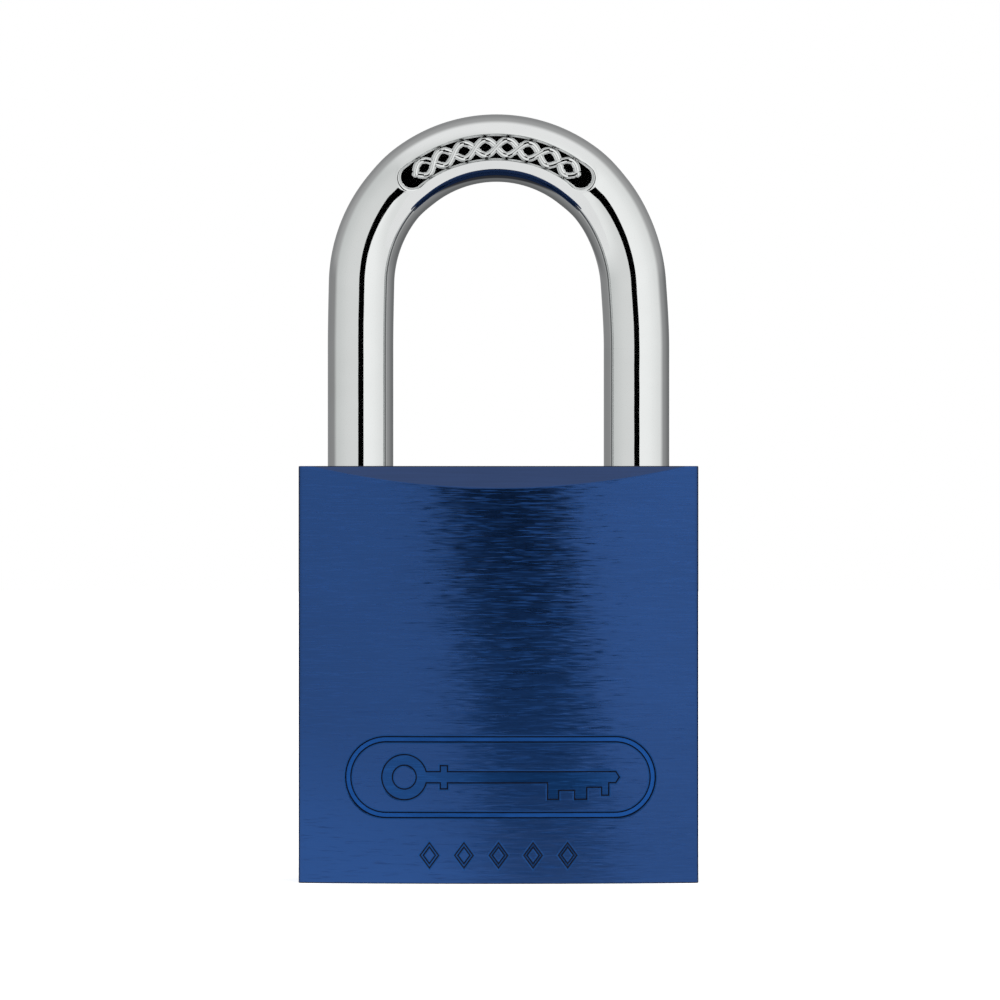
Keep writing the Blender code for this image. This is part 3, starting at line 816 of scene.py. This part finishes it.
def stadium(half_length, radius, end_steps=32):
    """Outline of (x, z) points round the border's middle."""
    centre = half_length - radius
    points = []
    for side in (1.0, -1.0):
        for i in range(end_steps + 1):
            angle = math.pi * (i / end_steps - 0.5)
            points.append((side * (centre + radius * math.cos(angle)), side * radius * math.sin(angle)))
    return [(x + STAMP_MIDDLE, z + BORDER_HEIGHT) for x, z in points]


def ring_circle(radius, steps=48):
    """Outline of (x, z) points round the middle of the key sign's ring."""
    return [(RING_CENTRE + radius * math.cos(2 * math.pi * i / steps),
             BORDER_HEIGHT + radius * math.sin(2 * math.pi * i / steps)) for i in range(steps)]


def lozenge(x, share):
    """Outline of (x, z) points round one mark's middle, drawn in to a share of its size."""
    half_width, half_height = MARK_HALF_WIDTH * share, MARK_HALF_HEIGHT * share
    return [(x + half_width, MARK_HEIGHT), (x, MARK_HEIGHT + half_height),
            (x - half_width, MARK_HEIGHT), (x, MARK_HEIGHT - half_height)]


def make_stamps(body, floor, brushed_floor, wall):
    """Border line, key sign and a row of plain lozenges, all pressed into the front face."""
    # The walls get the near-black edge material, which is painted shade.
    border, sign = [floor, wall, brushed_floor], [brushed_floor, wall, brushed_floor]
    border_line = band(stadium(BORDER_HALF_LENGTH, BORDER_RADIUS),
                       stadium(BORDER_HALF_LENGTH - BORDER_WIDTH, BORDER_RADIUS - BORDER_WIDTH))
    blade = filled([(STAMP_MIDDLE + x * MM, BORDER_HEIGHT + z * MM) for x, z in KEY_BLADE])
    ring = band(ring_circle(RING_RADIUS), ring_circle(RING_HOLE))
    shapes = [
        ("border_line", border_line, BORDER_DEPTH, border),
        ("key_blade", blade, SIGN_DEPTH, sign),
        ("key_ring", ring, SIGN_DEPTH, sign),
    ]
    side_distance = MARK_HALF_WIDTH * MARK_HALF_HEIGHT / math.hypot(MARK_HALF_WIDTH, MARK_HALF_HEIGHT)
    for i in range(MARK_COUNT):
        x = (i - (MARK_COUNT - 1) / 2.0) * MARK_PITCH
        mark = band(lozenge(x, 1.0), lozenge(x, 1.0 - MARK_LINE / side_distance))
        shapes.append((f"mark_{i + 1}", mark, MARK_DEPTH, sign))
    cutters = []
    for name, shape, depth, materials in shapes:
        cutter = add_object(name, press_in(shape, depth), materials)
        combine(body, cutter)
        cutters.append(cutter)
    return cutters


def body_bores():
    """Every bore of the block as (name, outline, place, direction, sides)."""
    top = BODY_HEIGHT + PAST_SURFACE
    bores = []
    legs = (("heel_bore", -LEG_SPREAD, HEEL_BORE_FLOOR), ("toe_bore", LEG_SPREAD, TOE_BORE_FLOOR))
    for name, x, low in legs:
        profile = [
            (0.0, low), (LEG_BORE_RADIUS, low), (LEG_BORE_RADIUS, BODY_HEIGHT - MOUTH_CHAMFER),
            (LEG_BORE_RADIUS + MOUTH_CHAMFER + PAST_SURFACE, top), (0.0, top),
        ]
        bores.append((name, profile, (x, 0.0, 0.0), UPRIGHT, LEG_BORE_SIDES))
    profile = [
        (0.0, -PAST_SURFACE), (PLUG_BORE_RADIUS + MOUTH_CHAMFER + PAST_SURFACE, -PAST_SURFACE),
        (PLUG_BORE_RADIUS, MOUTH_CHAMFER), (PLUG_BORE_RADIUS, PLUG_BORE_TOP), (0.0, PLUG_BORE_TOP),
    ]
    bores.append(("plug_bore", profile, (0.0, 0.0, 0.0), UPRIGHT, PLUG_SIDES))
    profile = cylinder(BOLT_BORE_RADIUS, -LEG_SPREAD, LEG_SPREAD)
    bores.append(("bolt_bore", profile, (0.0, 0.0, BOLT_HEIGHT), ALONG_X, NARROW_SIDES))
    profile = cylinder(CHAMBER_RADIUS, CHAMBER_START, HALF_WIDTH + PAST_SURFACE)
    for number in range(1, CHAMBER_COUNT + 1):
        low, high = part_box(f"chamber_plug_{number}")
        place = (0.0, 0.0, (low.z + high.z) / 2.0)
        bores.append((f"chamber_{number}", profile, place, ALONG_X, CHAMBER_SIDES))
    for name in ("shackle_stop_pin", "plug_retaining_pin"):
        low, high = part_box(name)
        middle = (low + high) / 2.0
        radius = (high.z - low.z) / 2.0 + CROSS_WIDER
        profile = cylinder(radius, low.y - CROSS_DEEPER, HALF_DEPTH + PAST_SURFACE)
        bores.append((name + "_hole", profile, (middle.x, 0.0, middle.z), ALONG_Y, NARROW_SIDES))
    return bores


def make_body(brushed, chamfer, top_face, edge, floor, sign_floor, bore):
    body = add_object("lock_body_shell", body_block(), [brushed, chamfer, top_face, edge])
    cutters = make_stamps(body, floor, sign_floor, edge)
    for name, profile, place, direction, sides in body_bores():
        cutters.append(drill(body, name, profile, place, direction, bore, sides))
    bake_modifiers(body, cutters)
    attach(body, "housing")
    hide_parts("lock_body")


# -------------------- shackle

def bow_points():
    """(reach from the middle, height, angle from the apex) down half the bow, finest over the panel."""
    panel_edge = PANEL_HALF_ANGLE + PANEL_MARGIN * PANEL_HALF_WIDTH / BOW_RADIUS
    angles = [panel_edge * i / PANEL_STEPS for i in range(PANEL_STEPS + 1)]
    angles += [panel_edge + (math.pi / 2.0 - panel_edge) * i / BOW_STEPS for i in range(1, BOW_STEPS + 1)]
    return [(BOW_RADIUS * math.sin(a), BOW_CENTRE + BOW_RADIUS * math.cos(a), a) for a in angles]


def leg_heights(side, end):
    """Heights down one leg: the flare, both sides of each cut's edges, even steps and the rounded end."""
    cuts = [FLAT_BOTTOM, FLAT_TOP, NECK_TOP] if side < 0.0 else []
    for edge in (-1.0, 1.0):
        for reach in (NOTCH_HALF_HEIGHT, NOTCH_HALF_HEIGHT + NOTCH_SLOPE):
            cuts.append(BOLT_HEIGHT + edge * reach)
    marks = [z + gap for z in cuts for gap in (-EDGE_GAP, EDGE_GAP)]
    z = FLARE_BOTTOM
    while z > end + LAST_STEP:
        marks.append(z)
        z -= LEG_STEP
    heights = [BOW_CENTRE - FLARE_STEP * i for i in range(1, FLARE_STEPS + 1)]
    heights += sorted((z for z in marks if z > end + LAST_MARK), reverse=True)
    for k in range(END_STEPS + 1):
        heights.append(end + END_ROUND * (1.0 - math.sin(math.pi / 2.0 * k / END_STEPS)))
    return heights


def centre_line():
    """Stations along the bar as (x, height, angle from the apex or None, side, height of its end)."""
    stations = []
    for side, end in ((-1.0, HEEL_END), (1.0, TOE_END)):
        spread = LEG_SPREAD - BOW_RADIUS - side * BOW_MIDDLE
        line = []
        for reach, z, angle in bow_points() + [(BOW_RADIUS, z, None) for z in leg_heights(side, end)]:
            flare = smooth_step((FLARE_TOP - z) / (FLARE_TOP - FLARE_BOTTOM)) * spread
            line.append((BOW_MIDDLE + side * (reach + flare), z, angle, side, end))
        stations = list(reversed(line)) if side < 0.0 else stations + line[1:]
    return stations


def bar_radius(z, side, end):
    """The round bar: fuller over the bow, thin at the long leg's neck and rounded off at its ends."""
    fuller = smooth_step(((z - BOW_CENTRE) / BOW_RADIUS - BOW_FULL_START) / BOW_FULL_RISE)
    radius = BAR_RADIUS + (BOW_BAR_RADIUS - BAR_RADIUS) * fuller
    if z < end + END_ROUND:
        drop = (end + END_ROUND - z) / END_ROUND
        radius -= END_ROUND * (1.0 - math.sqrt(max(1.0 - drop**2, 0.0)))
    if side < 0.0 and FLAT_BOTTOM <= z <= NECK_TOP:
        radius = BAR_RADIUS - FLAT_DEPTH
    return radius


def inner_reach(z, side, radius):
    """How far the bar reaches towards the other leg, less where a notch or the flat is cut into it."""
    reach = radius
    off = abs(z - BOLT_HEIGHT)
    if off < NOTCH_HALF_HEIGHT + NOTCH_SLOPE:
        cut = NOTCH_DEPTH * min(1.0, (NOTCH_HALF_HEIGHT + NOTCH_SLOPE - off) / NOTCH_SLOPE)
        reach = min(reach, BAR_RADIUS - cut)
    if side < 0.0 and FLAT_BOTTOM <= z <= FLAT_TOP:
        reach = min(reach, BAR_RADIUS - FLAT_DEPTH)
    return reach


def braid(along, across):
    """Height of two ridged strands that pass over and under each other down the panel."""
    length = BRAID_LENGTH * BOW_RADIUS * PANEL_HALF_ANGLE
    if abs(along) > length + BRAID_HALF_WIDTH:
        return 0.0
    phase = math.pi * BRAID_WAVES * along / length
    best = 0.0
    for sign in (-1.0, 1.0):
        reach = sign * BRAID_REACH * math.sin(phase)
        slope = BRAID_REACH * math.cos(phase) * math.pi * BRAID_WAVES / length
        distance = abs(across - reach) / math.hypot(1.0, slope)
        if abs(along) > length:
            distance = math.hypot(abs(along) - length, across)
        rise = smooth_step((BRAID_HALF_WIDTH - distance) / BRAID_BEVEL)
        top = BRAID_HEIGHT - BRAID_ROOF * distance + sign * BRAID_OVERLAP * math.cos(phase)
        best = max(best, rise * top)
    return best


def panel_depth(depth, along, across):
    """The bow's front with the sunk panel, the lip round its ends and the braid on its floor."""
    past = abs(along) - BOW_RADIUS * PANEL_HALF_ANGLE
    edge = (math.hypot(past, across) if past > 0.0 else abs(across)) - PANEL_HALF_WIDTH
    if 0.0 <= edge < PANEL_LIP:
        raised = smooth_step((past + PANEL_LIP_START) / PANEL_LIP_RISE)
        depth -= PANEL_LIP_HEIGHT * raised * math.sin(math.pi * edge / PANEL_LIP)
    if edge < 0.0:
        floor = -PANEL_FLOOR - braid(along, across)
        depth += (max(floor, depth) - depth) * smooth_step(-edge / PANEL_WALL)
    return depth


def ring_angles():
    """Angles round the bar from the front, closest together where the panel is."""
    angles = [FRONT_HALF_ANGLE * (2.0 * k / FRONT_SIDES - 1.0) for k in range(FRONT_SIDES + 1)]
    behind = 2.0 * math.pi - 2.0 * FRONT_HALF_ANGLE
    return angles + [FRONT_HALF_ANGLE + behind * k / BACK_SIDES for k in range(1, BACK_SIDES)]


def shackle_mesh():
    stations = centre_line()
    angles = ring_angles()
    shape = bmesh.new()
    rings = []
    for i, (x, z, angle, side, end) in enumerate(stations):
        before = stations[max(i - 1, 0)]
        after = stations[min(i + 1, len(stations) - 1)]
        tangent = Vector((after[0] - before[0], 0.0, after[1] - before[1])).normalized()
        outward = Vector((-tangent.z, 0.0, tangent.x))
        radius = bar_radius(z, side, end)
        reach = inner_reach(z, side, radius)
        ring = []
        for a in angles:
            across = radius * math.sin(a)
            depth = -radius * math.cos(a)
            if reach < radius:
                across = max(across, -reach)
            if angle is not None and math.cos(a) > 0.0:
                depth = panel_depth(depth, side * angle * BOW_RADIUS, across)
            point = Vector((x, 0.0, z)) + outward * across
            ring.append(shape.verts.new((point.x, depth, point.z)))
        rings.append(ring)
    skin(shape, rings)
    return shape


def make_shackle(chrome):
    shackle = add_object("shackle_bar", shackle_mesh(), [chrome], smooth=40.0)
    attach(shackle, "shackle")
    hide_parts("shackle")


# -------------------- small round pieces

def make_round(name, node_name, body, material, rotation):
    """A turned pin in place of a faceted one, with broken edges and a shallow centre dimple."""
    low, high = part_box(node_name)
    middle = (low + high) / 2.0
    axis = 0 if rotation is ALONG_X else 1
    radius = (high.z - low.z) / 2.0
    start, stop = low[axis], high[axis]
    profile = [
        (0.0, start), (radius - PIN_EDGE, start), (radius, start + PIN_EDGE), (radius, stop - PIN_EDGE),
        (radius - PIN_ROUND * PIN_EDGE, stop - PIN_ROUND * PIN_EDGE), (radius - PIN_EDGE, stop),
        (DIMPLE_RADIUS * radius, stop), (0.0, stop - DIMPLE_DEPTH * radius),
    ]
    place = [middle.x, middle.y, middle.z]
    place[axis] = 0.0
    made = add_object(name, turned(profile, PIN_SIDES), [material], place, rotation, smooth=30.0)
    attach(made, body)
    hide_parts(node_name)


def make_plug(brass):
    """The key plug with its broached keyway, chambers, retaining groove and tail tongue."""
    low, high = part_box("cylinder_plug")
    radius = (high.x - low.x) / 2.0
    profile = [
        (0.0, low.z), (radius - PLUG_CHAMFER, low.z), (radius, low.z + PLUG_CHAMFER), (radius, GROOVE_LOW),
        (GROOVE_RADIUS, GROOVE_LOW), (GROOVE_RADIUS, GROOVE_HIGH), (radius, GROOVE_HIGH),
        (radius, PLUG_END), (0.0, PLUG_END),
    ]
    plug = add_object("key_plug", turned(profile, PLUG_SIDES), [brass])
    keyway = prism([(x * MM, y * MM) for x, y in KEYWAY], -PAST_SURFACE, KEYWAY_LENGTH)
    cutters = [add_object("keyway", keyway, [brass])]
    combine(plug, cutters[0])
    chamber = cylinder(CHAMBER_RADIUS, PLUG_CHAMBER_START, PLUG_CHAMBER_END)
    for number in range(1, CHAMBER_COUNT + 1):
        first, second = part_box(f"key_pin_{number}")
        place = (0.0, 0.0, (first.z + second.z) / 2.0)
        cutters.append(drill(plug, f"plug_chamber_{number}", chamber, place, ALONG_Y, brass, NARROW_SIDES))
    w, d = TONGUE_HALF_WIDTH, TONGUE_HALF_DEPTH
    root = PLUG_END - TONGUE_SUNK
    tongue = prism([(-w, -d), (w, -d), (w, d), (-w, d)], root, high.z - root)
    cutters.append(add_object("tongue", tongue, [brass]))
    combine(plug, cutters[-1], "UNION")
    bake_modifiers(plug, cutters)
    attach(plug, "plug")
    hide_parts("cylinder_plug")


def coil_mesh(length, radius, wire, turns, gathered):
    """A spring along local Z from 0 to length. Gathered is how much closer its end turns lie."""
    shape = bmesh.new()
    upward = Vector((0.0, 0.0, 1.0))
    count = turns * TURN_STEPS
    rings = []
    for i in range(count + 1):
        angle = 2.0 * math.pi * i / TURN_STEPS
        share = i / count - gathered * math.sin(2.0 * math.pi * i / count)
        outward = Vector((math.cos(angle), math.sin(angle), 0.0))
        centre = outward * radius + upward * (wire + (length - 2.0 * wire) * share)
        ring = []
        for k in range(WIRE_SIDES):
            turn = 2.0 * math.pi * k / WIRE_SIDES
            sideways = outward * math.cos(turn) + upward * math.sin(turn)
            ring.append(shape.verts.new(centre + wire * sideways))
        rings.append(ring)
    skin(shape, rings)
    return shape


def make_springs(wire_steel):
    """Round wire springs in place of the CAD springs, each as long as the one it replaces and set where it
    was.
    """
    low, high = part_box("shackle_spring")
    middle = (low + high) / 2.0
    shape = coil_mesh(high.z - low.z, *LIFT_COIL)
    lift = add_object("shackle_spring_coil", shape, [wire_steel], (middle.x, middle.y, low.z), smooth=40.0)
    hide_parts("shackle_spring")
    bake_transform(lift)
    for number in range(1, CHAMBER_COUNT + 1):
        low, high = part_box(f"driver_spring_{number}")
        height = (low.z + high.z) / 2.0
        shape = coil_mesh(high.x - low.x, *DRIVER_COIL)
        name = f"driver_spring_coil_{number}"
        spring = add_object(name, shape, [wire_steel], (low.x, 0.0, height), ALONG_X, smooth=40.0)
        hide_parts(f"driver_spring_{number}")
        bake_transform(spring)


# -------------------- studio

def level_card(name, low, high, height, material):
    shape = bmesh.new()
    outline = [(low[0], low[1]), (high[0], low[1]), (high[0], high[1]), (low[0], high[1])]
    shape.faces.new([shape.verts.new((x, y, height)) for x, y in outline])
    card = add_object(name, shape, [material])
    return card


def pale_card(name, glow, white):
    material, tree, shader = new_material(name)
    grain = stretched_noise(tree, scale=(40.0,) * 3, detail=2.0)
    tree.links.new(blended(tree, grain, (0.98 * white,) * 3, (white,) * 3), shader.inputs["Base Color"])
    shader.inputs["Roughness"].default_value = 0.9
    shader.inputs["Specular IOR Level"].default_value = 0.0
    shader.inputs["Emission Color"].default_value = (1.0, 1.0, 1.0, 1.0)
    shader.inputs["Emission Strength"].default_value = glow
    return material


def make_floor():
    """A white floor, and a white sheet before the lock that its lower half mirrors."""
    pale = pale_card("pale_floor", FLOOR_GLOW, FLOOR_WHITE)
    floor = level_card("pale_floor", (-FLOOR_HALF, -FLOOR_HALF), (FLOOR_HALF, FLOOR_HALF), 0.0, pale)
    floor.visible_glossy = False
    glow = pale_card("white_sheet", SHEET_GLOW, 0.0)
    near, far = (-SHEET_HALF_WIDTH, -SHEET_REACH), (SHEET_HALF_WIDTH, 0.0)
    sheet = level_card("white_sheet", near, far, -SHEET_DROP, glow)
    sheet.visible_camera = False
    sheet.visible_diffuse = False
    sheet.visible_shadow = False


def make_dark_card():
    """A tall dark card behind the camera, which the polished faces mirror. It casts no shadow."""
    material, _, shader = new_material("dark_card")
    shader.inputs["Base Color"].default_value = (0.0, 0.0, 0.0, 1.0)
    shader.inputs["Roughness"].default_value = 1.0
    shader.inputs["Specular IOR Level"].default_value = 0.0
    half = CARD_HALF_WIDTH
    shape = filled([(-half, CARD_LOW), (half, CARD_LOW), (half, CARD_HIGH), (-half, CARD_HIGH)])
    place = (CARD_MIDDLE, -CAMERA_DISTANCE - CARD_BEHIND, CAMERA_HEIGHT)
    card = add_object("dark_card", shape, [material], place)
    card.visible_camera = False
    card.visible_shadow = False
    card.visible_diffuse = False


def front_light(tree, x, y, z):
    """Colour of the room before the lock, beside it and above it."""
    outward = smooth_remap(tree, y, *FRONT_TO_SIDE)
    left = blended(tree, outward, *ROOM_LEFT)
    right = blended(tree, outward, *ROOM_RIGHT)
    level = blended(tree, smooth_remap(tree, x, *LEFT_TO_RIGHT), left, right)
    lit = blended(tree, smooth_remap(tree, z, *LEVEL_TO_ABOVE), level, ROOM_ABOVE)
    sideways = smooth_remap(tree, x, *FLOOR_LEFT_TO_RIGHT)
    floor = blended(tree, sideways, ROOM_FRONT_FLOOR_LEFT, ROOM_FRONT_FLOOR_RIGHT)
    return blended(tree, smooth_remap(tree, z, *LEVEL_TO_FLOOR), lit, floor)


def back_light(tree, x, y, z):
    """Colour of the room behind the lock."""
    far = smooth_remap(tree, y, *NEAR_TO_FAR)
    left = blended(tree, far, *ROOM_BACK_LEFT)
    right = blended(tree, far, *ROOM_BACK_RIGHT)
    back = blended(tree, smooth_remap(tree, x, *BACK_LEFT_TO_RIGHT), left, right)
    back = blended(tree, smooth_remap(tree, z, *BACK_TO_HIGH), back, blended(tree, far, *ROOM_BACK_HIGH))
    return blended(tree, smooth_remap(tree, z, *BACK_TO_LOW), back, blended(tree, far, *ROOM_BACK_LOW))


def make_world():
    """A white light tent: bright in front and at the sides, grey behind. The camera sees plain white."""
    world = bpy.data.worlds.new("studio")
    bpy.context.scene.world = world
    world.use_nodes = True
    tree = world.node_tree
    tree.nodes.clear()
    x, y, z = split(tree, node(tree, "ShaderNodeTexCoord").outputs["Generated"])
    behind = smooth_remap(tree, y, *LIT_TO_BACK)
    room = blended(tree, behind, front_light(tree, x, y, z), back_light(tree, x, y, z))
    down = times(tree, smooth_remap(tree, z, *STEEP_DOWN), smooth_remap(tree, y, *DOWN_BEHIND))
    room = blended(tree, down, room, ROOM_BELOW)
    path = node(tree, "ShaderNodeLightPath")
    seen = blended(tree, path.outputs["Is Camera Ray"], room, SEEN_WHITE)
    background = node(tree, "ShaderNodeBackground")
    output = node(tree, "ShaderNodeOutputWorld")
    tree.links.new(seen, background.inputs["Color"])
    tree.links.new(background.outputs["Background"], output.inputs["Surface"])


def make_camera():
    data = bpy.data.cameras.new("camera")
    data.sensor_width = SENSOR_WIDTH
    data.lens = SENSOR_WIDTH * (CAMERA_DISTANCE - SIDE_HALF_DEPTH) / FRAME_WIDTH
    data.clip_start = 0.01
    data.clip_end = 20.0
    camera = bpy.data.objects.new("camera", data)
    camera.location = (CAMERA_SIDE, -CAMERA_DISTANCE, CAMERA_HEIGHT)
    camera.rotation_euler = (math.radians(90.0), 0.0, 0.0)
    bpy.context.scene.collection.objects.link(camera)
    bpy.context.scene.camera = camera


# -------------------- everything together

def finish_carried_parts(finishes):
    """Give every CAD node that isn't replaced the material of its slot."""
    slots = {part["node"]: part["material_slot"] for part in frame["record"]["subparts"]}
    for name, part in frame["nodes"].items():
        if part.hide_render:
            continue
        part.data.materials.clear()
        part.data.materials.append(finishes[slots[name]])


def main():
    brushed = brushed_anodised("blue_anodised_brushed", FACE_DYE, coat=0.22, ragged=1.0)
    floor = stamped_floor()
    bore = drilled_anodised()
    chrome = polished_chrome()
    brass = turned_metal("turned_brass", *BRASS)
    steel = turned_metal("turned_steel", *STEEL)
    spring = turned_metal("spring_wire", *SPRING_WIRE)
    sign_floor = brushed_anodised("blue_anodised_pressed", PRESSED_DYE, coat=0.10, ragged=0.5)
    chamfer = milled_anodised("blue_anodised_chamfer", CHAMFER_DYE, coat=0.52)
    top_face = milled_anodised("blue_anodised_top", TOP_DYE, coat=0.2)
    make_body(brushed, chamfer, top_face, painted_edge_shade(), floor, sign_floor, bore)
    make_shackle(chrome)
    make_plug(brass)
    make_springs(spring)
    for number in range(1, CHAMBER_COUNT + 1):
        name = f"chamber_stopper_{number}"
        make_round(name, f"chamber_plug_{number}", "housing", brushed, ALONG_X)
    for name in ("shackle_stop_pin", "plug_retaining_pin"):
        make_round(name + "_turned", name, "housing", steel, ALONG_Y)
    finish_carried_parts(
        {"brass": brass, "bright_steel": steel, "spring_steel": spring, "anodised_aluminium": brushed})
    make_floor()
    make_dark_card()
    make_world()
    make_camera()
    bpy.context.scene.view_settings.view_transform = "Standard"


main()
